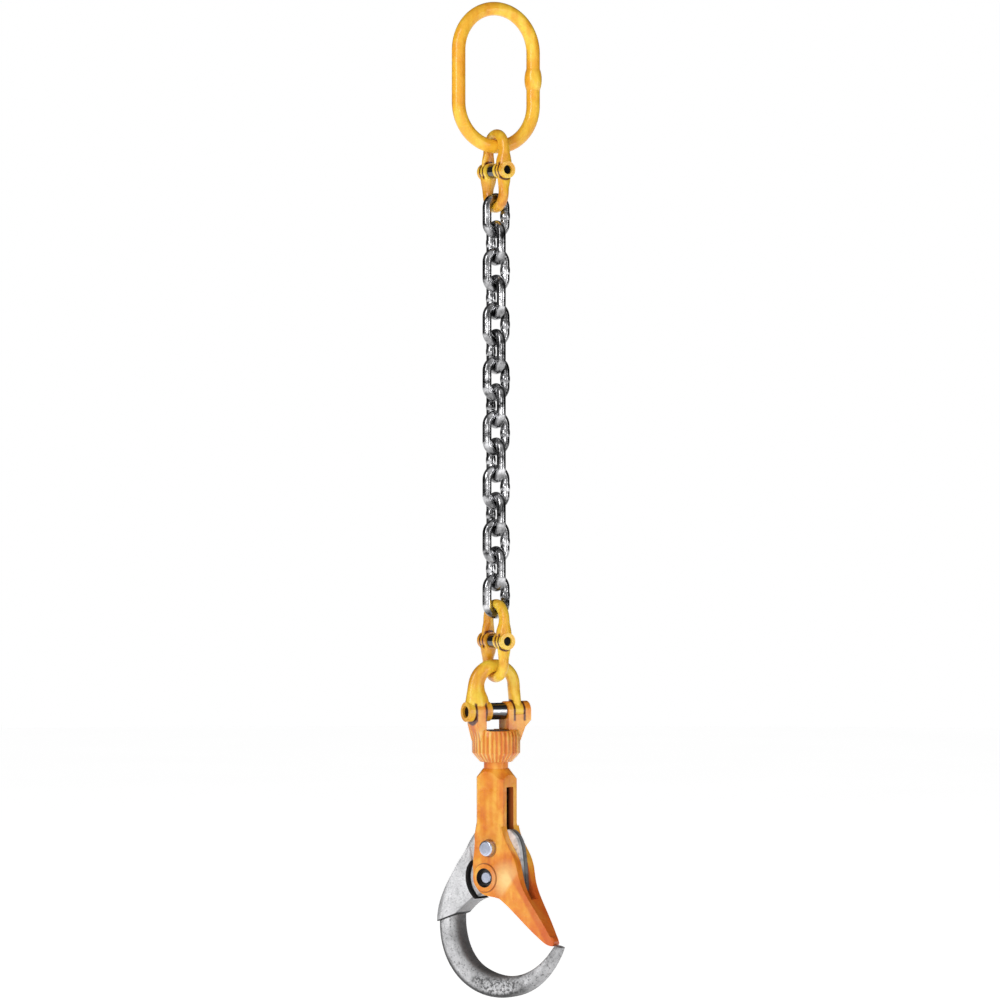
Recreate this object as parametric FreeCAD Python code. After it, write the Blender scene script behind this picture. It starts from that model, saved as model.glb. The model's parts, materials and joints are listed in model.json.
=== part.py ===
import FreeCAD, Part
import math
import os
from FreeCAD import Vector

# Single-leg lifting chain sling: master link, two coupling links, fifteen chain links,
# a bow shackle, a swivel head and a self-locking hook.
# Frame: +Z up, origin where the crane hook bears inside the master link.
# The sling hangs straight down. The master link lies in the XZ plane.

# ---- driving dimensions, millimetres and degrees ----
chain_rod = 8.0
chain_pitch = 24.0
chain_inner_width = 10.4
chain_link_count = 15
hang_gap = 0.25             # air between two links where they bear on each other
pin_clearance = 0.06        # radial running clearance of every pin
side_gap = 0.35             # air between neighbouring ears
ear_relief = 0.45           # air round a neighbour's boss
pin_recess = 2.0            # how far the ends of the load pins lie inside the ears

master_rod = 12.0
master_inner_width = 64.0
master_inner_length = 110.0
master_bead = (1.7, 9.5)    # weld bead: swell and half length
chain_bead = (0.45, 3.5)

coupling_rod = 9.0
coupling_inner_length = 55.5
coupling_inner_width = 18.0
coupling_ears = (6.5, 11.0, 16.5, 21.0)    # inner ear and outer ear, measured from the axis
coupling_boss = 7.5
coupling_pin = 4.0

bow_rod = 11.0
bow_height = 34.5           # bearing point to pin axis
bow_inner_width = 25.0
bow_ears = (8.0, 14.0, 24.5, 31.0)
bow_boss = 8.7
bow_pin = 5.2

head_radius = 21.0
head_facets = 16
head_saddle_drop = 17.0     # below the bow pin
head_taper_drop = 36.5
head_bottom_drop = 44.5
head_bottom_radius = 14.0
neck_radius = 10.8
cavity_radius = 15.0
cavity_depth = 18.0
washer_height = 4.0
nut_height = 9.0
stem_radius = 7.5
lock_pin_radius = 1.5

shank_front = -14.0         # the shank's two edges, in the hook's own plane
shank_back = 15.4
frame_thickness = 26.0
shank_edge = 3.0            # chamfer of the shank's four corners
shoulder_top = -665.5
shoulder_drop = 12.0
slot_ceiling = -713.5       # above this the shank is solid but for the rear groove
slot_floor = -784.0         # below this the arm is solid
groove_top = -681.5
arm_tip = (67.2, -818.1)
arm_back = (38.5, -769.0)   # where the arm leaves the cheeks on its back edge
arm_thinning = 7.3          # slope of the arm's faces towards its tip
arm_bevel = 50.0            # slope of the arm's back edge
cheek_gap = 10.0
blade_thickness = 9.4
heel_thickness = 20.4
heel_slope = 16.0           # slope of the heel's upper end down to the blade
hook_turn = -67.0           # swivel angle of the hook plane, from +X about +Z

hook_pin = Vector(-2.4, 0, -761.6)       # hook pivot, in the hook's own XZ plane
trigger_pin = Vector(2.2, 0, -735.2)     # trigger pivot, in the same plane
hook_pin_radius = 5.3
trigger_pin_radius = 3.0
trigger_hub_radius = 5.2
rivet_head_radius = 7.0
rivet_head_heights = (6.0, 3.0)          # front and back
cheek_radius = 12.8
boss_rise = 1.3             # the ring round the hook pin stands out of the cheek
sink_radius = 8.4           # counterbore round the hook pin
sink_depth = 2.6
recess_radius = 23.6        # arc of the heel round the cheeks
hook_range = 21.0           # opening angle of the hook
blade_radius = 14.0
lobe_radius = 20.5          # locking lobe of the blade, behind the trigger's nose
lobe_top = 52.0
lobe_bottom = 9.0
spring_wire_radius = 0.6
spring_turns = 2.4
spring_pitch = 1.27

origin = Vector(0, 0, 0)
axis_x = Vector(1, 0, 0)
axis_y = Vector(0, 1, 0)
axis_z = Vector(0, 0, 1)


# ---- small tools ----
def turned(shape, axis, degrees, centre=origin):
    copy = shape.copy()
    copy.rotate(centre, axis, degrees)
    return copy


def moved(shape, x=0.0, y=0.0, z=0.0):
    copy = shape.copy()
    copy.translate(Vector(x, y, z))
    return copy


def joined(shapes):
    return shapes[0].fuse(shapes[1:]).removeSplitter()


def mix(a, b, share):
    return a * (1 - share) + b * share


def smooth(share):
    share = min(1.0, max(0.0, share))
    return share * share * (3 - 2 * share)


def block(x0, x1, y0, y1, z0, z1):
    return Part.makeBox(x1 - x0, y1 - y0, z1 - z0, Vector(x0, y0, z0))


def rod_x(radius, x0, x1, z=0.0):
    return Part.makeCylinder(radius, x1 - x0, Vector(x0, 0, z), axis_x)


def rod_y(radius, y0, y1, x=0.0, z=0.0):
    return Part.makeCylinder(radius, y1 - y0, Vector(x, y0, z), axis_y)


def rod_z(radius, z0, z1, x=0.0):
    return Part.makeCylinder(radius, z1 - z0, Vector(x, 0, z0), axis_z)


def plate(outline, thickness):
    # flat plate in the XZ plane, centred on y = 0; outline is a list of edges
    face = Part.Face(Part.Wire(outline))
    solid = face.extrude(Vector(0, thickness, 0))
    solid.translate(Vector(0, -thickness / 2, 0))
    return solid


def line(a, b):
    return Part.makeLine(Vector(a[0], 0, a[1]), Vector(b[0], 0, b[1]))


def arc(a, middle, b):
    return Part.Arc(Vector(a[0], 0, a[1]), Vector(middle[0], 0, middle[1]), Vector(b[0], 0, b[1])).toShape()


def curve(points):
    spline = Part.BSplineCurve()
    spline.interpolate([Vector(x, 0, z) for x, z in points])
    return spline.toShape()


def polygon(points, thickness):
    edges = [line(points[i], points[(i + 1) % len(points)]) for i in range(len(points))]
    return plate(edges, thickness)


def half_ring(ring_radius, rod_radius, centre_z, upper):
    circle = Part.makeCircle(rod_radius, Vector(ring_radius, 0, centre_z), axis_z)
    disc = Part.Face(Part.Wire(circle))
    axis = Vector(0, -1, 0) if upper else axis_y
    return disc.revolve(Vector(0, 0, centre_z), axis, 180)


def barrel(radius, swell, half_length, x, z):
    # weld bead: a rod swollen at its middle
    bottom = Vector(radius, 0, -half_length)
    top = Vector(radius, 0, half_length)
    side = Part.Arc(bottom, Vector(radius + swell, 0, 0), top).toShape()
    foot = Vector(0, 0, -half_length)
    head = Vector(0, 0, half_length)
    edges = [Part.makeLine(foot, bottom), side, Part.makeLine(top, head), Part.makeLine(head, foot)]
    solid = Part.Face(Part.Wire(edges)).revolve(origin, axis_z, 360)
    return moved(solid, x, 0, z)


def oval_link(inner_width, inner_length, rod, top_z, bead):
    # closed welded link in the XZ plane, its upper bearing surface at top_z
    radius = rod / 2
    ring = inner_width / 2 + radius
    upper = top_z - inner_width / 2
    lower = top_z - inner_length + inner_width / 2
    pieces = [half_ring(ring, radius, upper, True), half_ring(ring, radius, lower, False)]
    pieces.append(rod_z(radius, lower, upper, ring))
    pieces.append(rod_z(radius, lower, upper, -ring))
    swell, half_length = bead
    pieces.append(barrel(radius, swell, half_length, ring, (upper + lower) / 2))
    return joined(pieces)


def oval_section(x, z, outward, half_across, half_y):
    # closed oval whose plane holds the Y axis and the outward direction (degrees from +X)
    angle = math.radians(outward)
    across = Vector(math.cos(angle), 0, math.sin(angle))
    points = []
    for step in range(12):
        turn = 2 * math.pi * step / 12
        points.append(Vector(x, 0, z) + across * (half_across * math.cos(turn))
                      + axis_y * (half_y * math.sin(turn)))
    spline = Part.BSplineCurve()
    spline.interpolate(points, PeriodicFlag=True)
    return Part.Wire(spline.toShape())


def half_link(rod, inner_width, height, ears, boss, pin):
    # forged half link in the XZ plane with its pin along X through the origin and its
    # crown upwards: a fork on the -X side and a single lug on the +X side
    radius = rod / 2
    clear_half = inner_width / 2
    spring = height - clear_half                # height where the crown begins
    inner, slot_start, slot_end, outer = ears
    lug_start = slot_start + side_gap
    lug_end = slot_end - side_gap
    crown = clear_half + radius
    taper = spring + crown * math.pi / 2        # the fork's leg thins down all the way to the crown
    leg_steps = 7
    heights = [spring * step / leg_steps for step in range(leg_steps)]
    stations = []
    for height_here in heights:
        rise = smooth((height_here - boss * 0.9) / (spring - boss * 0.9))
        near = mix(inner, clear_half, rise)
        far = mix(outer, clear_half + rod, max(0, height_here - boss * 0.6) / (taper - boss * 0.6))
        half_y = mix(boss * 0.9, radius, rise)
        stations.append((-(near + far) / 2, height_here, 180, (far - near) / 2, half_y))
    for outward in range(180, -1, -20):
        angle = math.radians(outward)
        along = spring + crown * max(0, math.pi - angle)
        far = mix(outer, clear_half + rod, min(1, (along - boss * 0.6) / (taper - boss * 0.6)))
        half = (far - clear_half) / 2
        ring = clear_half + half
        stations.append((ring * math.cos(angle), spring + ring * math.sin(angle), outward, half, radius))
    for height_here in reversed(heights):
        rise = smooth((height_here - boss * 0.9) / (spring - boss * 0.9))
        near = mix(lug_start, clear_half, rise)
        far = mix(lug_end, clear_half + rod, height_here / spring)
        half_y = mix(boss * 0.85, radius, rise)
        stations.append(((near + far) / 2, height_here, 0, (far - near) / 2, half_y))
    bent_rod = Part.makeLoft([oval_section(*station) for station in stations], True, False)
    fork_boss = rod_x(boss, -outer, -inner)
    lug_boss = rod_x(boss, lug_start, lug_end)
    solid = bent_rod.fuse([fork_boss, lug_boss])
    relief = boss + ear_relief
    slot = rod_x(relief, -slot_end, -slot_start)
    slot = slot.fuse(block(-slot_end, -slot_start, -relief, relief, -2 * relief, 0))
    beside = [rod_x(relief, lug_end, outer + 4), rod_x(relief, inner - 4, lug_start)]
    hole = rod_x(pin + pin_clearance, -outer - 1, outer + 1)
    return solid.cut([slot, hole] + beside)


def pin_and_sleeve(ears, pin, boss):
    inner, slot_start, slot_end, outer = ears
    shaft = rod_x(pin, pin_recess - outer, outer - pin_recess)
    ends = [face for face in shaft.Faces if abs(face.normalAt(0, 0).x) > 0.99]
    rim = [edge for face in ends for edge in face.Edges]
    shaft = shaft.makeChamfer(0.5, rim)
    sleeve = rod_x(boss - 1.2, -inner + side_gap, inner - side_gap)
    sleeve = sleeve.makeFillet(0.8, [edge for edge in sleeve.Edges if edge.Length > 2 * boss])
    sleeve = sleeve.cut(rod_x(pin + pin_clearance, -inner, inner))
    return shaft, sleeve


parts = {}


# ---- master link ----
parts["master_link"] = oval_link(master_inner_width, master_inner_length, master_rod, 0.0, master_bead)


# ---- coupling links: two forged halves, a load pin and its retaining sleeve ----
def coupling(name, bearing_z):
    height = coupling_inner_length / 2
    upper = half_link(coupling_rod, coupling_inner_width, height, coupling_ears, coupling_boss, coupling_pin)
    lower = turned(upper, axis_y, 180)
    shaft, sleeve = pin_and_sleeve(coupling_ears, coupling_pin, coupling_boss)
    pieces = {"top_half": upper, "bottom_half": lower, "pin": shaft, "sleeve": sleeve}
    for piece, solid in pieces.items():
        crosswise = turned(solid, axis_z, 90)
        parts[name + "_" + piece] = moved(crosswise, 0, 0, bearing_z + hang_gap - height)
    return bearing_z + hang_gap - coupling_inner_length


bearing = coupling("upper_coupling", -master_inner_length)

# ---- chain: odd links lie in the XZ plane, even links in the YZ plane ----
for number in range(1, chain_link_count + 1):
    link = oval_link(chain_inner_width, chain_pitch + hang_gap, chain_rod, bearing + hang_gap, chain_bead)
    if number % 2 == 0:
        link = turned(link, axis_z, 90)
    parts["chain_link_%02d" % number] = link
    bearing -= chain_pitch

bearing = coupling("lower_coupling", bearing)

# ---- bow shackle between the lower coupling and the swivel head ----
bow_pin_z = bearing - bow_height
bow = half_link(bow_rod, bow_inner_width, bow_height + hang_gap, bow_ears, bow_boss, bow_pin)
bow_shaft, bow_sleeve = pin_and_sleeve(bow_ears, bow_pin, bow_boss)
parts["bow_shackle"] = moved(bow, 0, 0, bow_pin_z)
parts["bow_pin"] = moved(bow_shaft, 0, 0, bow_pin_z)
parts["bow_sleeve"] = moved(bow_sleeve, 0, 0, bow_pin_z)


# ---- swivel head, its pin axis at z = 0 while it is built ----
def facet_ring(radius, z):
    corner = radius / math.cos(math.pi / head_facets)
    points = []
    for k in range(head_facets + 1):
        angle = math.pi * (2 * k + 1) / head_facets
        points.append(Vector(corner * math.cos(angle), corner * math.sin(angle), z))
    return Part.makePolygon(points)


def swivel_head():
    inner, slot_start, slot_end, outer = bow_ears
    relief = bow_boss + ear_relief
    saddle = -head_saddle_drop
    crown = Part.makeLoft([facet_ring(head_radius * 0.93, saddle + 0.5),
                           facet_ring(head_radius, saddle - 5)], True, True)
    body = Part.makeLoft([facet_ring(head_radius, saddle - 5), facet_ring(head_radius, -head_taper_drop)],
                         True, True)
    skirt = Part.makeLoft([facet_ring(head_radius, -head_taper_drop),
                           facet_ring(head_bottom_radius, -head_bottom_drop)], True, True)
    lug_start = slot_start + side_gap
    lug_end = slot_end - side_gap
    yoke = polygon([(-lug_end, 0), (-lug_end, -11), (-head_radius + 1, saddle - 9),
                    (head_radius - 1, saddle - 9), (outer - 6, -14), (outer, -8), (outer, 0)], 2 * bow_boss)
    ears = [rod_x(bow_boss, -lug_end, -lug_start), rod_x(bow_boss, inner, slot_start),
            rod_x(bow_boss, slot_end, outer)]
    head = joined([crown, body, skirt, yoke] + ears)
    window = block(-lug_start, inner, -20, 20, saddle, 20)
    slot = block(slot_start, slot_end, -20, 20, -2, 20).fuse(rod_x(relief, slot_start, slot_end))
    fork_room = rod_x(relief, -outer - 2, -lug_end)
    hole = rod_x(bow_pin + pin_clearance, -outer - 1, outer + 1)
    cavity = rod_z(cavity_radius, saddle - 1 - cavity_depth, saddle - 1)
    cap_seat = rod_z(cavity_radius - 3, saddle - 2, saddle + 1)
    bore = rod_z(neck_radius + pin_clearance, -head_bottom_drop - 1, saddle - cavity_depth)
    return head.cut([window, slot, fork_room, hole, cavity, cap_seat, bore]).removeSplitter()


cavity_top = -head_saddle_drop - 1
cavity_floor = cavity_top - cavity_depth
head = swivel_head()
cap = rod_z(cavity_radius - 3, cavity_top - 1, cavity_top + 1)
cap_rim = [edge for edge in cap.Edges if edge.Length > 60 and edge.BoundBox.ZMin > cavity_top]
cap = cap.makeFillet(0.6, cap_rim)
washer = rod_z(cavity_radius - 0.3, cavity_floor, cavity_floor + washer_height)
washer = washer.cut(rod_z(neck_radius + pin_clearance, cavity_floor - 1, cavity_floor + washer_height + 1))
nut_floor = cavity_floor + washer_height + 0.2
nut = Part.Face(facet_ring(cavity_radius - 1.6, nut_floor)).extrude(Vector(0, 0, nut_height))
nut = nut.cut(rod_z(stem_radius, nut_floor - 1, nut_floor + nut_height + 1))
lock_pin = rod_y(lock_pin_radius, -cavity_radius + 2.2, cavity_radius - 2.2, 0, nut_floor + nut_height / 2)
nut = nut.cut(lock_pin)
for name, solid in (("swivel_head", head), ("swivel_cap", cap), ("swivel_thrust_washer", washer)):
    parts[name] = moved(solid, 0, 0, bow_pin_z)


# ---- hook frame: neck, square shank, two cheeks and the arm, built in the XZ plane ----
half_side = frame_thickness / 2


def frame_outline():
    top = shoulder_top
    back = [(shank_back, top), (shank_back, -715.6)]
    left_tangent = (hook_pin.x - cheek_radius, hook_pin.z + 2)
    edges = [line(back[0], back[1])]
    edges.append(curve([back[1], (20.5, -729), (30.0, -744.8), (35.4, -764.2), (47.7, -786.3),
                        (62.8, -810.2)]))
    edges.append(arc((62.8, -810.2), (66.3, -815.4), (64.8, -818.8)))
    edges.append(curve([(64.8, -818.8), (60.8, -818.2), (53.0, -813.6), (32.0, -795.4), (13.0, -779.3)]))
    edges.append(curve([(13.0, -779.3), (4.5, -777.9), (-4.0, -776.4), (-12.0, -770.5), left_tangent]))
    edges.append(curve([left_tangent, (-15.6, -748.5), (-14.4, -738.0), (shank_front, -727.0)]))
    edges.append(line((shank_front, -727.0), (shank_front, top)))
    edges.append(line((shank_front, top), back[0]))
    return edges


def hook_frame():
    body = plate(frame_outline(), frame_thickness)
    for sign_x, side_x in ((-1, shank_front), (1, shank_back)):
        for sign_y in (-1, 1):
            corner = Vector(side_x, sign_y * half_side, 0)
            sections = []
            for cut, z in ((0.05, -724.0), (shank_edge, -713.0), (shank_edge, shoulder_top + 1)):
                a = corner + Vector(sign_x * 0.05, sign_y * 0.05, z)
                b = corner + Vector(-sign_x * cut, sign_y * 0.05, z)
                c = corner + Vector(sign_x * 0.05, -sign_y * cut, z)
                sections.append(Part.makePolygon([a, b, c, a]))
            body = body.cut(Part.makeLoft(sections, True, True))
    # the shoulders round the shank into the neck
    cone_top = neck_radius + 0.7
    cone = Part.makeCone(cone_top, cone_top + 0.75 * shoulder_drop, shoulder_drop,
                         Vector(0, 0, shoulder_top), Vector(0, 0, -1))
    collar = block(-30, 30, -30, 30, shoulder_top - shoulder_drop, shoulder_top + 1).cut(cone)
    body = body.cut(collar)
    # the arm thins towards its tip on both faces and on its back edge
    for side in (-1, 1):
        start = Vector(18, side * half_side, -770)
        wedge = block(-40, 90, min(0, side * 20), max(0, side * 20), -60, 40)
        wedge = turned(wedge, Vector(0.62, 0, 0.78), side * -arm_thinning)
        wedge.translate(start)
        body = body.cut(wedge)
    along = Vector(arm_tip[0] - arm_back[0], 0, arm_tip[1] - arm_back[1])
    descent = math.degrees(math.atan2(-along.z, along.x))
    for side in (-1, 1):
        bevel = block(-8, 90, min(0, side * 30), max(0, side * 30), 0, 40)
        bevel = turned(bevel, axis_x, side * arm_bevel)
        bevel = turned(bevel, axis_y, descent + 7.5)
        body = body.cut(moved(bevel, arm_back[0], side * half_side, arm_back[1]))
    neck = rod_z(neck_radius, shoulder_top, bow_pin_z + nut_floor - 0.1)
    stem = rod_z(stem_radius, bow_pin_z + nut_floor - 0.2, bow_pin_z + nut_floor + nut_height - 0.5)
    boss_half = half_side + boss_rise
    boss = rod_y(cheek_radius - 0.6, -boss_half, boss_half, hook_pin.x, hook_pin.z)
    body = joined([body, neck, stem, boss])
    gap = cheek_gap / 2
    slot = block(-30, 80, -gap, gap, slot_floor, slot_ceiling)
    slot = slot.cut(block(20, 80, -gap - 1, gap + 1, slot_floor - 1, -779))
    groove = block(2.5, 30, -gap, gap, slot_ceiling - 1.5, groove_top)
    sinks = []
    for side in (-1, 1):
        far = side * (half_side + 4)
        near = side * (half_side - sink_depth)
        sinks.append(rod_y(sink_radius, min(near, far), max(near, far), hook_pin.x, hook_pin.z))
    holes = [rod_y(hook_pin_radius + pin_clearance, -20, 20, hook_pin.x, hook_pin.z),
             rod_y(trigger_pin_radius + pin_clearance, -20, 20, trigger_pin.x, trigger_pin.z)]
    cross_hole = moved(lock_pin, 0, 0, bow_pin_z)
    return body.cut([slot, groove, cross_hole] + sinks + holes).removeSplitter()


# ---- hook: a forged bowl with a heel plate and a thin blade between the cheeks ----
bowl_centre = Vector(6.2, 0, -803.1)


def polar(centre, radius, degrees):
    angle = math.radians(degrees)
    return (centre.x + radius * math.cos(angle), centre.z + radius * math.sin(angle))


def bowl_section(angle, outer_radius, thickness, depth):
    # rounded section, flat on the outside of the bowl and full on the inside
    half = thickness / 2
    middle = outer_radius - half
    direction = Vector(math.cos(math.radians(angle)), 0, math.sin(math.radians(angle)))
    points = []
    for step in range(16):
        turn = 2 * math.pi * (step + 0.5) / 16
        across = math.cos(turn)
        power = 0.5 if across > 0 else 0.62
        side = math.copysign(abs(across) ** power, across) * half
        height = math.copysign(abs(math.sin(turn)) ** 0.55, math.sin(turn)) * depth / 2
        points.append(bowl_centre + direction * (middle + side) + Vector(0, height, 0))
    spline = Part.BSplineCurve()
    spline.interpolate(points, PeriodicFlag=True)
    return Part.Wire(spline.toShape())


bowl_stations = [
    # angle about the bowl's centre, outer radius, radial thickness, depth across the hook
    (156, 63.6, 18.8, 17.0),
    (172, 64.4, 20.6, 18.6),
    (190, 64.8, 21.6, 19.2),
    (210, 65.6, 21.8, 19.6),
    (232, 65.6, 21.2, 19.6),
    (254, 64.9, 20.8, 19.6),
    (274, 64.5, 19.2, 19.0),
    (294, 64.7, 16.8, 17.4),
    (314, 65.4, 13.4, 14.6),
    (332, 67.0, 10.2, 11.6),
    (346, 69.4, 7.6, 8.6),
]


def hook():
    bowl = Part.makeLoft([bowl_section(*station) for station in bowl_stations], True, False)
    top_corner = (-26.4, -731.6)
    shoulder = polar(hook_pin, recess_radius, 144)
    beak = polar(hook_pin, recess_radius, 236)
    heel = plate([curve([top_corner, (-37.6, -753.6), (-50.4, -774.5), (-57.6, -796.0), (-57.9, -803.0)]),
                  line((-57.9, -803.0), (-36.6, -795.2)),
                  curve([(-36.6, -795.2), (-32.2, -791.0), (-27.6, -787.1), (-21.6, -783.4), beak]),
                  arc(beak, polar(hook_pin, recess_radius, 190), shoulder),
                  line(shoulder, top_corner)], heel_thickness)
    # the upper end of the heel slopes down to the blade on both faces
    for side in (-1, 1):
        slope = block(-40, 40, min(0, side * 20), max(0, side * 20), -60, 40)
        slope = turned(slope, axis_x, side * heel_slope)
        slope = moved(slope, 0, side * (blade_thickness / 2 + 0.6), 0)
        slope = turned(slope, axis_y, 14)
        heel = heel.cut(moved(slope, top_corner[0], 0, top_corner[1] - 3))
    # blade: inside the cheeks it clears the trigger's hub, and a finger passes over that hub
    swing = hook_range + 0.6
    hub = trigger_hub_radius + 0.5
    reach = (trigger_pin - hook_pin).Length
    hub_angle = math.degrees(math.atan2(trigger_pin.z - hook_pin.z, trigger_pin.x - hook_pin.x))
    hub_half = math.degrees(math.asin(hub / reach))
    open_angle = hub_angle + hub_half + swing
    finger_inner = reach + hub
    finger_angle = 110.0
    finger_tip = polar(hook_pin, finger_inner, finger_angle)
    finger_top = (-17.6, -720.4)
    root_top = polar(hook_pin, finger_inner, open_angle)
    disc_top = polar(hook_pin, blade_radius, open_angle)
    blade = plate([line(finger_top, finger_tip),
                   arc(finger_tip, polar(hook_pin, finger_inner, (finger_angle + open_angle) / 2), root_top),
                   line(root_top, disc_top),
                   arc(disc_top, polar(hook_pin, blade_radius, 80), polar(hook_pin, blade_radius, lobe_top)),
                   line(polar(hook_pin, blade_radius, lobe_top), polar(hook_pin, lobe_radius, lobe_top)),
                   arc(polar(hook_pin, lobe_radius, lobe_top),
                       polar(hook_pin, lobe_radius, (lobe_top + lobe_bottom) / 2),
                       polar(hook_pin, lobe_radius, lobe_bottom)),
                   line(polar(hook_pin, lobe_radius, lobe_bottom),
                        polar(hook_pin, blade_radius, lobe_bottom - 24)),
                   arc(polar(hook_pin, blade_radius, lobe_bottom - 24), polar(hook_pin, blade_radius, -50),
                       polar(hook_pin, blade_radius, -88)),
                   curve([polar(hook_pin, blade_radius, -88), (-10.0, -777.2), (-18.0, -780.6),
                          (-24.8, -784.6)]),
                   line((-24.8, -784.6), (-45.0, -775.0)),
                   line((-45.0, -775.0), (-35.0, -750.0)),
                   curve([(-35.0, -750.0), (-30.4, -738.8), (-24.6, -729.0), finger_top])], blade_thickness)
    solid = joined([bowl, heel, blade])
    hole = rod_y(hook_pin_radius + pin_clearance, -20, 20, hook_pin.x, hook_pin.z)
    return solid.cut(hole).removeSplitter()


# ---- trigger: a rocker on its own pin, thumb pad above and locking nose below ----
def trigger():
    outline = [curve([(16.2, -718.6), (22.5, -722.0), (27.6, -729.5), (30.2, -741.0), (32.0, -756.0),
                      (33.0, -769.0)]),
               arc((33.0, -769.0), (31.0, -774.0), (26.0, -775.4)),
               line((26.0, -775.4), (16.0, -771.5)),
               line((16.0, -771.5), (19.0, -764.0)),
               curve([(19.0, -764.0), (19.6, -756.0), (17.4, -747.4), (9.6, -741.6)]),
               line((9.6, -741.6), (4.6, -741.1)),
               line((4.6, -741.1), (4.6, -730.6)),
               curve([(4.6, -730.6), (11.4, -727.2), (16.2, -718.6)])]
    body = plate(outline, blade_thickness)
    hub = rod_y(trigger_hub_radius, -blade_thickness / 2, blade_thickness / 2, trigger_pin.x, trigger_pin.z)
    body = joined([body, hub])
    spring_room = rod_y(trigger_hub_radius + 1.2, -blade_thickness / 2 - 1, 0.7, trigger_pin.x, trigger_pin.z)
    hole = rod_y(trigger_pin_radius + pin_clearance, -20, 20, trigger_pin.x, trigger_pin.z)
    return body.cut([spring_room, hole]).removeSplitter()


def trigger_spring():
    coil_radius = trigger_pin_radius + pin_clearance + spring_wire_radius + 0.35
    helix = Part.makeHelix(spring_pitch, spring_pitch * spring_turns, coil_radius)
    section = Part.Wire(Part.makeCircle(spring_wire_radius, Vector(coil_radius, 0, 0), axis_y))
    coil = Part.Wire(helix).makePipeShell([section], True, True)
    coil = turned(coil, axis_x, -90)
    return moved(coil, trigger_pin.x, -blade_thickness / 2 + 0.9, trigger_pin.z)


pivot_pin = rod_y(hook_pin_radius, -half_side + 1.0, half_side - 1.0, hook_pin.x, hook_pin.z)
pivot_pin = pivot_pin.makeChamfer(0.8, [edge for edge in pivot_pin.Edges if edge.Length > 25 and
                                        edge.BoundBox.YLength < 0.1])
rivet = rod_y(trigger_pin_radius, -half_side - 1, half_side + 1, trigger_pin.x, trigger_pin.z)
for side, head_height in zip((-1, 1), rivet_head_heights):
    inner_end = side * half_side
    outer_end = side * (half_side + head_height)
    near, far = sorted((inner_end, outer_end))
    rivet_head = rod_y(rivet_head_radius, near, far, trigger_pin.x, trigger_pin.z)
    outer_rim = [edge for edge in rivet_head.Edges
                 if edge.BoundBox.YLength < 0.1 and abs(edge.BoundBox.YMin - outer_end) < 0.1]
    rivet_head = rivet_head.makeFillet(1.6, outer_rim)
    rivet = rivet.fuse(rivet_head)
rivet = rivet.removeSplitter()

hook_pieces = {
    "swivel_nut": moved(nut, 0, 0, bow_pin_z),
    "swivel_lock_pin": moved(lock_pin, 0, 0, bow_pin_z),
    "hook_frame": hook_frame(),
    "hook": hook(),
    "hook_pivot_pin": pivot_pin,
    "trigger": trigger(),
    "trigger_pin": rivet,
    "trigger_spring": trigger_spring(),
}
for name, solid in hook_pieces.items():
    parts[name] = turned(solid, axis_z, hook_turn)

# ---- one STEP file per piece ----
os.makedirs("parts", exist_ok=True)
for name, solid in parts.items():
    bounds = solid.BoundBox
    print("%-24s valid %s solids %d volume %9.1f  z %.1f to %.1f"
          % (name, solid.isValid(), len(solid.Solids), solid.Volume, bounds.ZMin, bounds.ZMax))
    solid.exportStep("parts/" + name + ".step")
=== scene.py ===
import json
import math

import bpy
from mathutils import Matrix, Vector


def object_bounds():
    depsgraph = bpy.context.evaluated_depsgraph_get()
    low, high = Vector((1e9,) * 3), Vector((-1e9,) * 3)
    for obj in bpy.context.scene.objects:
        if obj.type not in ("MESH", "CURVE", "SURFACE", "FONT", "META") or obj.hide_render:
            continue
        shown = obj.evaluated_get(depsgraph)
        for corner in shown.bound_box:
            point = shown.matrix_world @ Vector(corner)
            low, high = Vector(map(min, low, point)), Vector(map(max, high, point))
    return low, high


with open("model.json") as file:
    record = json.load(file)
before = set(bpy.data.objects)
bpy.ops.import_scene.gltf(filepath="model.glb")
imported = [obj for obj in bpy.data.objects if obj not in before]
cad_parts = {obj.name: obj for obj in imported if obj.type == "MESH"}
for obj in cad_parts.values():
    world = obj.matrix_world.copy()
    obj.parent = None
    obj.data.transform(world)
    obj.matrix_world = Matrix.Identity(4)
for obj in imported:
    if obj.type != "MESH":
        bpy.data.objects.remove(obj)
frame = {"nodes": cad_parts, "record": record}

cad_low, cad_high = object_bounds()
nodes = frame["nodes"]
MM = 0.001


# ---- places on the hook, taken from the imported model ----
joints = {joint["name"]: joint for joint in frame["record"]["behaviour"]["joints"]}
hook_pivot = Vector(joints["hook_hinge"]["pos_m"])
hook_axis = Vector(joints["hook_hinge"]["axis"]).normalized()      # across the hook's plane
hook_across = Vector((hook_axis.y, -hook_axis.x, 0))               # in the hook's plane, towards its point


def on_hook(across, height):
    # a point in the hook's middle plane, from millimetres
    return hook_across * across * MM + Vector((0, 0, height * MM))


bowl_centre = on_hook(6.2, -803.1)
trigger_pivot = Vector(joints["trigger_hinge"]["pos_m"])
bow_pivot = Vector(joints["bow_pin_hinge"]["pos_m"])
coupling_pivots = [Vector(joints[side + "_coupling_pin_hinge"]["pos_m"]) for side in ("upper", "lower")]

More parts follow.
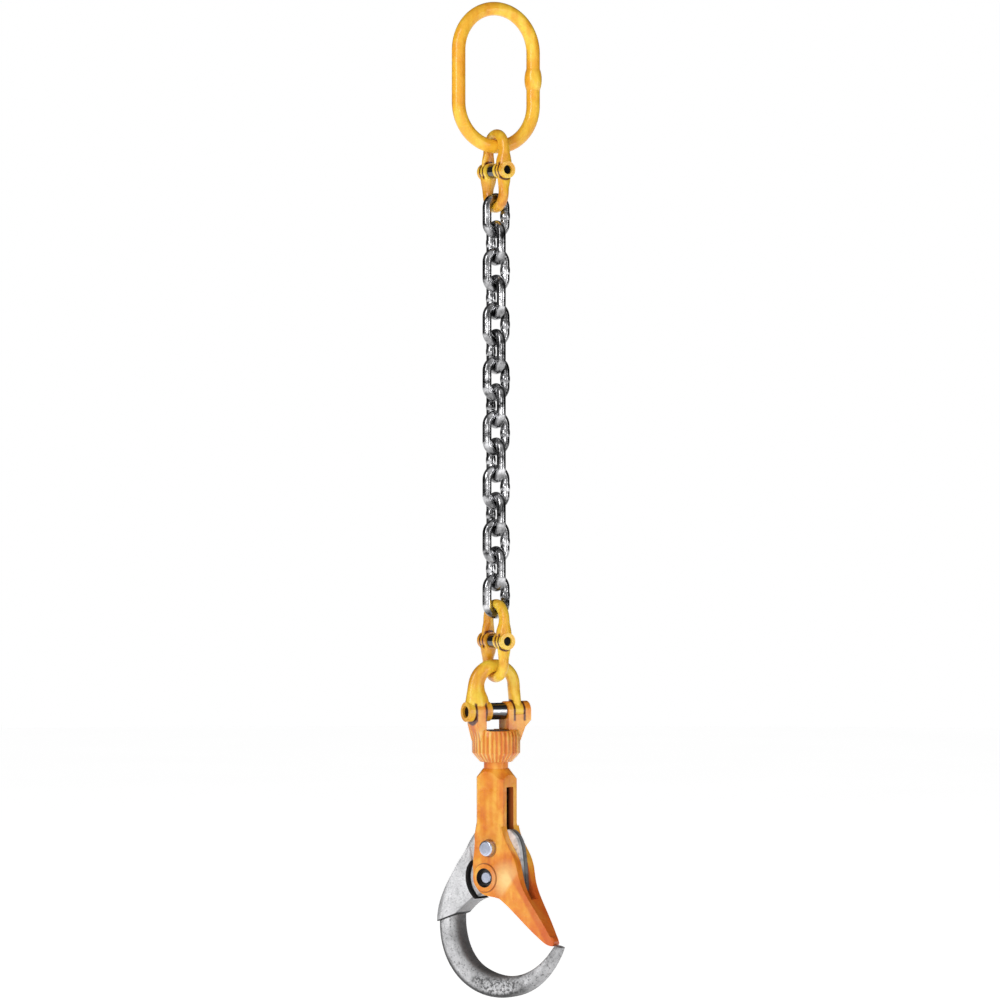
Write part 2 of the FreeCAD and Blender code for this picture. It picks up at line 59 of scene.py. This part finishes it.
# metres
bow_gaps = (0.0142, 0.0243)          # gaps between the ears, from the middle of the pin
coupling_gaps = (0.0112, 0.0163)
bow_boss = 0.0087
head_ear_drop = 0.0106               # how far down the head the painted shade of the gaps between its ears reaches
coupling_boss = 0.0075
chain_pitch = 0.024
flute_count = 32
slot_top = -0.6817                   # slot in the hook frame
slot_floor = -0.7790
slot_half_width = 0.00504
shank_front = -0.0137
cheek_half = 0.0130                  # from the middle plane to the face of a cheek
sink_radius = 0.0085                 # counterbores round the hook's pin
boss_radius = 0.0126                 # raised ring round the counterbores
rivet_radius = 0.0076
heel_arc = 0.0236                    # arc of the heel about the hook's pin
blade_half = 0.0049


# ---- node tools ----
class Shader:
    # a material with a principled shader and short calls for the nodes in front of it
    def __init__(self, name):
        self.material = bpy.data.materials.new(name)
        self.material.use_nodes = True
        self.tree = self.material.node_tree
        self.surface = self.tree.nodes["Principled BSDF"]
        self.position = self.tree.nodes.new("ShaderNodeTexCoord").outputs["Object"]

    def fixed(self, **values):
        for name, value in values.items():
            self.surface.inputs[name.replace("_", " ")].default_value = value

    def feed(self, name, value):
        self.tree.links.new(value, self.surface.inputs[name])

    def node(self, kind, inputs, output, **settings):
        node = self.tree.nodes.new(kind)
        for name, value in settings.items():
            setattr(node, name, value)
        for name, value in inputs.items():
            if isinstance(value, bpy.types.NodeSocket):
                self.tree.links.new(value, node.inputs[name])
            else:
                node.inputs[name].default_value = value
        return node.outputs[output]

    def noise(self, scale, detail=3.0, roughness=0.55, stretch=(1, 1, 1)):
        place = self.node("ShaderNodeMapping", {"Vector": self.position, "Scale": stretch}, "Vector")
        return self.node("ShaderNodeTexNoise", {"Vector": place, "Scale": scale, "Detail": detail,
                                                "Roughness": roughness}, "Fac")

    def pits(self, scale):
        return self.node("ShaderNodeTexVoronoi", {"Vector": self.position, "Scale": scale}, "Distance")

    def ramp(self, value, stops):
        node = self.tree.nodes.new("ShaderNodeValToRGB")
        ramp = node.color_ramp
        while len(ramp.elements) < len(stops):
            ramp.elements.new(0.5)
        for element, (place, colour) in zip(ramp.elements, stops):
            element.position = place
            element.color = (*colour, 1)
        self.tree.links.new(value, node.inputs["Fac"])
        return node.outputs["Color"]

    def span(self, value, low, high, start=0.3, end=0.7):
        return self.node("ShaderNodeMapRange", {"Value": value, "From Min": start, "From Max": end,
                                                "To Min": low, "To Max": high}, "Result")

    def math(self, operation, first, second):
        return self.node("ShaderNodeMath", {0: first, 1: second}, "Value", operation=operation)

    def reach(self, point, direction):
        # signed distance of the surface from a point along a direction, metres
        offset = self.node("ShaderNodeVectorMath", {0: self.position, 1: tuple(point)}, "Vector",
                           operation="SUBTRACT")
        return self.node("ShaderNodeVectorMath", {0: offset, 1: tuple(direction)}, "Value",
                         operation="DOT_PRODUCT")

    def off_axis(self, point, direction):
        # distance of the surface from an axis, metres
        offset = self.node("ShaderNodeVectorMath", {0: self.position, 1: tuple(point)}, "Vector",
                           operation="SUBTRACT")
        arm = self.node("ShaderNodeVectorMath", {0: offset, 1: tuple(direction)}, "Vector",
                        operation="CROSS_PRODUCT")
        return self.node("ShaderNodeVectorMath", {0: arm}, "Value", operation="LENGTH")

    def height(self):
        return self.reach(Vector((0, 0, 0)), (0, 0, 1))

    def flutes(self):
        # waves that run round the load axis, as on a head forged with flats
        parts = self.tree.nodes.new("ShaderNodeSeparateXYZ")
        self.tree.links.new(self.position, parts.inputs["Vector"])
        turn = self.math("ARCTAN2", parts.outputs["Y"], parts.outputs["X"])
        wave = self.math("COSINE", self.math("MULTIPLY", turn, float(flute_count)), 0.0)
        below_yoke = self.within(parts.outputs["Z"], bow_pivot.z - 0.0168, 0.003)
        return self.math("MULTIPLY", wave, below_yoke)

    def ear_gaps(self, pivot, direction, gaps, boss):
        # 1 along the gaps between the ears on a load pin, where painted shade goes
        along = self.math("ABSOLUTE", self.reach(pivot, direction), 0.0)
        near = [self.band(along, gap, 0.0011, 0.0009) for gap in gaps]
        round_pin = self.within(self.off_axis(pivot, direction), boss + 0.0016, 0.0010)
        return self.math("MULTIPLY", self.math("MAXIMUM", near[0], near[1]), round_pin)

    def within(self, value, limit, blur):
        # 1 where the value is under the limit, fading to 0 over the blur
        return self.span(value, 1.0, 0.0, limit - blur / 2, limit + blur / 2)

    def beyond(self, value, limit, blur):
        # 1 where the value is over the limit, fading to 0 over the blur
        return self.span(value, 0.0, 1.0, limit - blur / 2, limit + blur / 2)

    def band(self, value, middle, half_width, blur):
        # 1 where the value is within half a width of the middle
        return self.within(self.math("ABSOLUTE", self.math("SUBTRACT", value, middle), 0.0), half_width, blur)

    def blend(self, share, first, second):
        node = self.tree.nodes.new("ShaderNodeMix")
        node.data_type = "RGBA"
        for socket, value in ((node.inputs[0], share), (node.inputs[6], first), (node.inputs[7], second)):
            if isinstance(value, bpy.types.NodeSocket):
                self.tree.links.new(value, socket)
            else:
                socket.default_value = (*value, 1) if isinstance(value, tuple) else value
        return node.outputs[2]

    def bump(self, value, distance, strength=1.0, before=None):
        inputs = {"Height": value, "Distance": distance, "Strength": strength}
        if before is not None:
            inputs["Normal"] = before
        return self.node("ShaderNodeBump", inputs, "Normal")


def linear(red, green, blue):
    # screen colour, 0 to 255, to the linear values the shader works in
    values = []
    for channel in (red, green, blue):
        part = channel / 255
        values.append(part / 12.92 if part <= 0.04045 else ((part + 0.055) / 1.055) ** 2.4)
    return tuple(values)


# ---- materials ----
def painted(name, light, middle, dark, fluted=False):
    # powder coat over a forging: cloudy colour, orange peel and a soft waviness
    shader = Shader(name)
    clouds = shader.noise(30.0, 5.0, 0.65)
    streaks = shader.noise(120.0, 2.0, 0.5, (1, 1, 0.1))
    mottle = shader.math("ADD", shader.math("MULTIPLY", clouds, 0.62), shader.math("MULTIPLY", streaks, 0.38))
    colour = shader.ramp(mottle, [(0.39, dark), (0.49, middle), (0.58, light)])
    shader.feed("Roughness", shader.span(shader.noise(90.0, 2.0), 0.26, 0.42))
    shader.fixed(IOR=1.45, Coat_Weight=0.3, Coat_Roughness=0.15)
    waves = shader.bump(shader.noise(60.0, 2.0), 0.0024, 0.7)
    waves = shader.bump(shader.noise(150.0, 2.0), 0.0007, 0.6, waves)
    if fluted:
        waves = shader.bump(shader.flutes(), 0.0006, 0.7, waves)
    shader.feed("Normal", shader.bump(shader.noise(900.0, 2.0), 0.00008, 0.5, waves))
    # painted shade in the grooves between the flutes and a painted highlight on their ridges
    if fluted:
        groove_shade = shader.math("MULTIPLY", shader.span(shader.flutes(), 0.8, 0.0, -1.0, -0.2),
                             shader.span(clouds, 0.15, 1.0, 0.42, 0.56))
        colour = shader.blend(groove_shade, colour, linear(206, 84, 18))
        ridge_highlight_and_shade = shader.math("MULTIPLY", shader.span(shader.flutes(), 0.0, 0.8, 0.2, 1.0),
                            shader.span(streaks, 0.2, 1.0, 0.42, 0.56))
        colour = shader.blend(ridge_highlight_and_shade, colour, linear(246, 204, 112))
    shader.feed("Base Color", colour)
    return shader, colour


def paint_with_gap_shade(name, colours, pivots, direction, gaps, boss, fluted=False):
    # paint with painted shade in the gaps between the ears on a load pin
    shader, colour = painted(name, *colours, fluted=fluted)
    ear_gap_shade = [shader.ear_gaps(pivot, direction, gaps, boss) for pivot in pivots]
    share = ear_gap_shade[0]
    for more in ear_gap_shade[1:]:
        share = shader.math("MAXIMUM", share, more)
    # painted shade, a dark red-brown, in the gaps between the ears
    shader.feed("Base Color", shader.blend(share, colour, linear(88, 34, 12)))
    return shader.material


def steel(name, stops, rough, scale, hammer=0.0003, grain=0.00004):
    # plain machined or drawn steel
    shader = Shader(name)
    shader.feed("Base Color", shader.ramp(shader.noise(scale, 5.0, 0.65), stops))
    shader.feed("Roughness", shader.span(shader.noise(scale * 1.7, 3.0), rough[0], rough[1]))
    shader.fixed(Metallic=1.0)
    waves = shader.bump(shader.noise(scale * 1.5, 2.0), hammer, 0.6)
    shader.feed("Normal", shader.bump(shader.noise(scale * 22, 3.0), grain, 0.7, waves))
    return shader.material


def grey(value):
    return (value, value, value * 1.02)


hook_orange = (linear(238, 172, 62), linear(228, 138, 34), linear(210, 102, 24))


def hook_paint():
    # orange, with painted shade in the slot between the cheeks, and nearly black in the counterbores
    shader, colour = painted("hook_paint", *hook_orange)
    across = shader.math("ABSOLUTE", shader.reach(hook_pivot, hook_axis), 0.0)
    height = shader.height()
    depth = shader.reach(Vector((0, 0, 0)), hook_across)
    # painted shade in the slot between the cheeks, darkest towards its back
    in_slot = shader.within(across, slot_half_width, 0.00004)
    for limit in (shader.within(height, slot_top, 0.0002), shader.beyond(height, slot_floor, 0.0006),
                  shader.beyond(depth, shank_front, 0.0002)):
        in_slot = shader.math("MULTIPLY", in_slot, limit)
    slot_shade = shader.blend(shader.within(depth, 0.0112, 0.0030), linear(196, 104, 48), linear(40, 20, 12))
    colour = shader.blend(in_slot, colour, slot_shade)
    # a painted highlight lightens the cheek beside the trigger, and painted shade makes the arm's lower end
    # redder
    cheek_highlight = shader.within(shader.off_axis(on_hook(21, -762), hook_axis), 0.0110, 0.0160)
    cheek_highlight = shader.math("MULTIPLY", cheek_highlight, shader.beyond(across, cheek_half - 0.0004, 0.0004))
    colour = shader.blend(shader.math("MULTIPLY", cheek_highlight, 0.85), colour, linear(252, 216, 142))
    low_arm_shade = shader.within(height, -0.800, 0.030)
    colour = shader.blend(shader.math("MULTIPLY", low_arm_shade, 0.55), colour, linear(214, 96, 22))
    # painted shade makes the bevel along the arm's back edge redder still
    back_top, back_end = on_hook(38.5, -769.0), on_hook(67.2, -818.1)
    inward = hook_axis.cross(back_end - back_top).normalized()
    if inward.dot(hook_across) > 0:
        inward = -inward
    bevel_shade = shader.math("MULTIPLY", shader.within(shader.reach(back_top, inward), 0.0066, 0.0024),
                           shader.within(height, -0.7600, 0.0200))
    colour = shader.blend(shader.math("MULTIPLY", bevel_shade, 0.68), colour, linear(198, 80, 18))
    # painted shade in the corners round the rivet head and round the raised ring
    for pivot, radius in ((trigger_pivot, rivet_radius), (hook_pivot, boss_radius)):
        corner = shader.band(shader.off_axis(pivot, hook_axis), radius, 0.0005, 0.0006)
        corner = shader.math("MULTIPLY", corner, shader.within(across, cheek_half + 0.0003, 0.0002))
        colour = shader.blend(shader.math("MULTIPLY", corner, 0.75), colour, linear(120, 58, 20))
    # nearly black in the counterbores
    in_bore = shader.within(shader.off_axis(hook_pivot, hook_axis), sink_radius, 0.0001)
    shader.feed("Base Color", shader.blend(in_bore, colour, linear(30, 24, 22)))
    return shader.material


def forged_steel():
    # shot-blasted skin: grey with darker scale patches, pits and a coarse sparkle
    shader = Shader("forged_steel")
    patches = shader.noise(46.0, 6.0, 0.7)
    bowl = shader.ramp(patches, [(0.28, grey(0.22)), (0.45, grey(0.54)), (0.60, grey(0.72)),
                                 (0.76, grey(0.90))])
    heel = shader.ramp(patches, [(0.28, grey(0.46)), (0.45, grey(0.66)), (0.60, grey(0.78)),
                                 (0.76, grey(0.92))])
    # dark specks all over, thickest at the bottom of the bowl
    height = shader.height()
    speckle = shader.noise(420.0, 4.0, 0.7)
    few = shader.span(speckle, 0.0, 0.65, 0.55, 0.62)
    many = shader.span(speckle, 0.0, 0.85, 0.48, 0.56)
    near_middle = shader.band(shader.reach(on_hook(8, 0), hook_across), 0.0, 0.0260, 0.0080)
    at_bottom = shader.math("MULTIPLY", shader.within(height, -0.8490, 0.0040), near_middle)
    specks = shader.math("MAXIMUM", few, shader.math("MULTIPLY", many, at_bottom))
    bowl = shader.blend(specks, bowl, grey(0.06))
    heel = shader.blend(shader.math("MULTIPLY", few, 0.6), heel, grey(0.20))
    # painted shade darkens the inner side of the bowl and its outer rim
    radius = shader.off_axis(bowl_centre, hook_axis)
    towards_point = shader.reach(on_hook(0, 0), hook_across)
    inner_shade = shader.math("MULTIPLY", shader.span(radius, 1.0, 0.0, 0.0435, 0.0515),
                        shader.span(towards_point, 0.92, 0.25, 0.012, 0.040))
    bowl = shader.blend(inner_shade, bowl, grey(0.08))
    rim_shade = shader.math("MULTIPLY", shader.span(radius, 0.0, 1.0, 0.0590, 0.0620),
                      shader.span(towards_point, 0.94, 0.35, 0.020, 0.046))
    bowl = shader.blend(rim_shade, bowl, grey(0.03))
    # painted shade darkens the heel along its outer edge and where its inner edge meets the blade
    outer_edge = shader.off_axis(on_hook(96.1, -828.3), hook_axis)
    heel = shader.blend(shader.span(outer_edge, 0.0, 0.60, 0.1526, 0.1552), heel, grey(0.08))
    outer, beak, blade_foot = on_hook(-57.9, -803.0), on_hook(-36.6, -795.2), on_hook(-21.6, -783.4)
    below_blade = shader.reach(beak, hook_axis.cross(blade_foot - beak).normalized())
    inner_edge_shade = shader.band(below_blade, 0.0, 0.0014, 0.0010)
    inner_edge_shade = shader.math("MULTIPLY", inner_edge_shade, shader.within(radius, 0.0440, 0.0020))
    heel = shader.blend(shader.math("MULTIPLY", inner_edge_shade, 0.6), heel, grey(0.06))
    # the heel plate ends at a line across the hook, with a painted shadow line along the seam
    run = (beak - outer).normalized()
    upward = hook_axis.cross(run)
    if upward.z < 0:
        upward = -upward
    above = shader.reach(outer, upward)
    colour = shader.blend(shader.within(above, 0.0, 0.0006), heel, bowl)
    seam_shade = shader.band(above, 0.0, 0.0007, 0.0006)
    colour = shader.blend(seam_shade, colour, grey(0.03))
    # painted shade in the corner between the heel's arc and the blade
    across = shader.math("ABSOLUTE", shader.reach(hook_pivot, hook_axis), 0.0)
    on_blade = shader.within(across, blade_half, 0.0002)
    from_pivot = shader.off_axis(hook_pivot, hook_axis)
    corner = shader.band(from_pivot, heel_arc - 0.0006, 0.0010, 0.0004)
    on_arc = shader.band(from_pivot, heel_arc, 0.0002, 0.0001)
    shade_mask = shader.math("MAXIMUM", shader.math("MULTIPLY", corner, on_blade), on_arc)
    shader.feed("Base Color", shader.blend(shade_mask, colour, grey(0.015)))
    shader.feed("Roughness", shader.span(shader.noise(120.0, 3.0), 0.42, 0.62))
    shader.fixed(Metallic=0.50)
    waves = shader.bump(shader.noise(55.0, 3.0), 0.0012, 0.5)
    pitted = shader.bump(shader.pits(520.0), 0.00035, 0.8, waves)
    shader.feed("Normal", shader.bump(shader.noise(1300.0, 3.0), 0.00022, 0.9, pitted))
    return shader.material


def chain_steel():
    # polished links with dark scale left in patches and painted shade where two links bear on each other
    shader = Shader("chain_steel")
    bright = shader.ramp(shader.noise(95.0, 5.0, 0.65),
                         [(0.36, grey(0.02)), (0.46, grey(0.30)), (0.62, grey(0.78))])
    # painted shade where two links bear on each other
    contact = Vector(joints["chain_joint_02"]["pos_m"])
    from_contact = shader.math("PINGPONG", shader.reach(contact, (0, 0, 1)), chain_pitch / 2)
    shade_mask = shader.math("MULTIPLY", shader.within(from_contact, 0.0044, 0.0050), 0.52)
    shader.feed("Base Color", shader.blend(shade_mask, bright, grey(0.02)))
    shader.feed("Roughness", shader.span(shader.noise(160.0, 3.0), 0.08, 0.20))
    shader.fixed(Metallic=1.0)
    waves = shader.bump(shader.noise(140.0, 2.0), 0.0005, 0.6)
    shader.feed("Normal", shader.bump(shader.noise(2100.0, 3.0), 0.00004, 0.7, waves))
    return shader.material


def sleeve_steel():
    # black and glossy; a painted highlight runs along the front of the bow's sleeve
    shader = Shader("sleeve_steel")
    black = shader.ramp(shader.noise(60.0), [(0.35, grey(0.002)), (0.65, grey(0.006))])
    sleeve_highlight = shader.math("MULTIPLY", shader.band(shader.reach(bow_pivot, (0, 0, 1)), 0.0002, 0.0013, 0.0016),
                         shader.within(shader.reach(bow_pivot, (0, 1, 0)), -0.0030, 0.0010))
    sleeve_highlight = shader.math("MULTIPLY", sleeve_highlight, shader.span(shader.noise(260.0), 0.55, 0.95, 0.35, 0.6))
    shader.feed("Base Color", shader.blend(sleeve_highlight, black, (0.72, 0.76, 0.84)))
    shader.feed("Roughness", shader.span(shader.noise(150.0), 0.06, 0.11))
    shader.fixed(IOR=1.9)
    shader.feed("Normal", shader.bump(shader.noise(300.0), 0.00001, 0.5))
    return shader.material


def trigger_steel():
    # light steel, with painted shade where it dips into the slot, on its far side and along its middle
    shader = Shader("trigger_steel")
    bright = shader.ramp(shader.noise(110.0, 5.0, 0.65),
                         [(0.34, grey(0.42)), (0.50, grey(0.74)), (0.66, grey(0.92))])
    height = shader.height()
    # painted shade where the trigger dips into the slot, and on its far side
    shade_mask = shader.within(height, -0.7500, 0.0160)
    far_side_shade = shader.span(shader.reach(trigger_pivot, hook_axis), 0.0, 0.80, -0.0012, 0.0004)
    trigger_shade = shader.math("MAXIMUM", shader.math("MULTIPLY", shade_mask, 0.93), far_side_shade)
    colour = shader.blend(trigger_shade, bright, grey(0.06))
    # a painted dark shade line along the trigger's middle plane
    ridge_highlight_and_shade = shader.band(shader.reach(trigger_pivot, hook_axis), 0.0, 0.0006, 0.0006)
    shader.feed("Base Color", shader.blend(shader.math("MULTIPLY", ridge_highlight_and_shade, 0.8), colour, grey(0.01)))
    shader.feed("Roughness", shader.span(shader.noise(190.0, 3.0), 0.25, 0.45))
    shader.fixed(Metallic=0.25)
    waves = shader.bump(shader.noise(165.0, 2.0), 0.0005, 0.6)
    shader.feed("Normal", shader.bump(shader.noise(2400.0, 3.0), 0.00004, 0.7, waves))
    return shader.material


coupling_yellow = (linear(240, 200, 62), linear(230, 168, 38), linear(208, 130, 28))
slot_materials = {
    "master_link_paint": painted("master_link_paint", linear(250, 202, 62), linear(242, 178, 42),
                                 linear(234, 158, 34))[0].material,
    "coupling_paint": paint_with_gap_shade("coupling_paint", coupling_yellow, coupling_pivots, (0, 1, 0),
                                    coupling_gaps, coupling_boss),
    "bow_paint": paint_with_gap_shade("bow_paint", coupling_yellow, [bow_pivot], (1, 0, 0), bow_gaps, bow_boss),
    "hook_paint": hook_paint(),
    "chain_steel": chain_steel(),
    "sleeve_steel": sleeve_steel(),
    "load_pin_steel": steel("load_pin_steel", [(0.35, grey(0.004)), (0.65, grey(0.02))], (0.35, 0.5), 90.0),
    "forged_steel": forged_steel(),
    "trigger_steel": trigger_steel(),
    "pin_steel": steel("pin_steel", [(0.35, (0.46, 0.50, 0.62)), (0.65, (0.66, 0.70, 0.84))],
                       (0.24, 0.38), 110.0, 0.0001),
    "hidden_steel": steel("hidden_steel", [(0.35, grey(0.35)), (0.65, grey(0.5))], (0.3, 0.5), 90.0),
}

# ---- finish on every node: its material, and softened edges where the forging has them ----
soft_edges = {"hook_frame": 0.0010, "swivel_head": 0.0008, "hook": 0.0012, "trigger": 0.0007}
for entry in frame["record"]["subparts"]:
    node = nodes[entry["node"]]
    node.data.materials.clear()
    node.data.materials.append(slot_materials[entry["material_slot"]])
    if entry["node"] == "swivel_head":
        node.data.materials[0] = paint_with_gap_shade("head_paint", hook_orange, [bow_pivot], (1, 0, 0), bow_gaps,
                                               head_ear_drop, fluted=True)
    width = soft_edges.get(entry["node"])
    if width:
        weld = node.modifiers.new("weld", "WELD")
        weld.merge_threshold = 0.000002
        bevel = node.modifiers.new("bevel", "BEVEL")
        bevel.width = width
        bevel.segments = 2
        bevel.limit_method = "ANGLE"
        bevel.angle_limit = math.radians(32)
        weighted = node.modifiers.new("normals", "WEIGHTED_NORMAL")
        weighted.weight = 80


# ---- studio: pale floor and background, soft lights ----
floor_material = Shader("floor")
floor_material.feed("Base Color", floor_material.ramp(floor_material.noise(3.0),
                                                      [(0.3, (0.86, 0.86, 0.86)), (0.7, (0.90, 0.90, 0.90))]))
floor_material.fixed(Roughness=0.8, Emission_Color=(1, 1, 1, 1), Emission_Strength=0.8)
floor_gap = 0.06
bpy.ops.mesh.primitive_circle_add(vertices=96, radius=6.0, fill_type="NGON",
                                  location=(0, 0, cad_low.z - floor_gap))
floor = bpy.context.object
floor.name = "studio_floor"
floor.data.materials.append(floor_material.material)

# ---- camera: level with the middle of the sling, 30 degrees to the left of straight on ----
azimuth = math.radians(-30)
toward_camera = Vector((math.sin(azimuth), -math.cos(azimuth), 0))
camera_right = Vector((math.cos(azimuth), math.sin(azimuth), 0))
target = camera_right * 0.0035 + Vector((0, 0, -0.4283))
camera_distance = 4.0
frame_width = 0.884

camera_data = bpy.data.cameras.new("camera")
camera_data.sensor_width = 36.0
camera_data.lens = camera_data.sensor_width * camera_distance / frame_width
camera_data.clip_end = 50
camera = bpy.data.objects.new("camera", camera_data)
bpy.context.scene.collection.objects.link(camera)
camera.location = target + toward_camera * camera_distance
camera.rotation_mode = "QUATERNION"
camera.rotation_quaternion = (-toward_camera).to_track_quat("-Z", "Y")
bpy.context.scene.camera = camera


def studio_world():
    # plain white to look at; for light and reflections bright in front and dark at the sides and behind
    world = bpy.data.worlds.new("studio")
    world.use_nodes = True
    tree = world.node_tree
    background = tree.nodes["Background"]
    direction = tree.nodes.new("ShaderNodeTexCoord").outputs["Generated"]
    facing = tree.nodes.new("ShaderNodeVectorMath")
    facing.operation = "DOT_PRODUCT"
    facing.inputs[1].default_value = tuple(toward_camera + Vector((0, 0, 0.35)))
    tree.links.new(direction, facing.inputs[0])
    shade = tree.nodes.new("ShaderNodeMapRange")
    shade.inputs["From Min"].default_value = 0.30
    shade.inputs["From Max"].default_value = 0.80
    shade.inputs["To Min"].default_value = 0.06
    shade.inputs["To Max"].default_value = 0.56
    tree.links.new(facing.outputs["Value"], shade.inputs["Value"])
    seen = tree.nodes.new("ShaderNodeLightPath").outputs["Is Camera Ray"]
    strength = tree.nodes.new("ShaderNodeMath")
    strength.operation = "MAXIMUM"
    tree.links.new(shade.outputs["Result"], strength.inputs[0])
    tree.links.new(seen, strength.inputs[1])
    tree.links.new(strength.outputs["Value"], background.inputs["Strength"])
    background.inputs["Color"].default_value = (1, 1, 1, 1)
    bpy.context.scene.world = world


studio_world()


def area_light(name, side, forward, up, size, power):
    # side and forward are measured from the camera's line of sight, forward towards the camera
    light = bpy.data.lights.new(name, "AREA")
    light.shape = "RECTANGLE"
    light.size, light.size_y = size
    light.energy = power
    lamp = bpy.data.objects.new(name, light)
    bpy.context.scene.collection.objects.link(lamp)
    lamp.location = target + camera_right * side + toward_camera * forward + Vector((0, 0, up))
    lamp.rotation_mode = "QUATERNION"
    lamp.rotation_quaternion = (target - lamp.location).to_track_quat("-Z", "Y")


area_light("key", -1.3, 1.7, 1.0, (0.5, 1.6), 21)
area_light("side", 1.73, 1.0, -0.15, (0.2, 1.3), 4.6)
area_light("strip", 0.1, 2.6, 0.12, (1.2, 0.24), 5)

bpy.context.scene.view_settings.view_transform = "Standard"
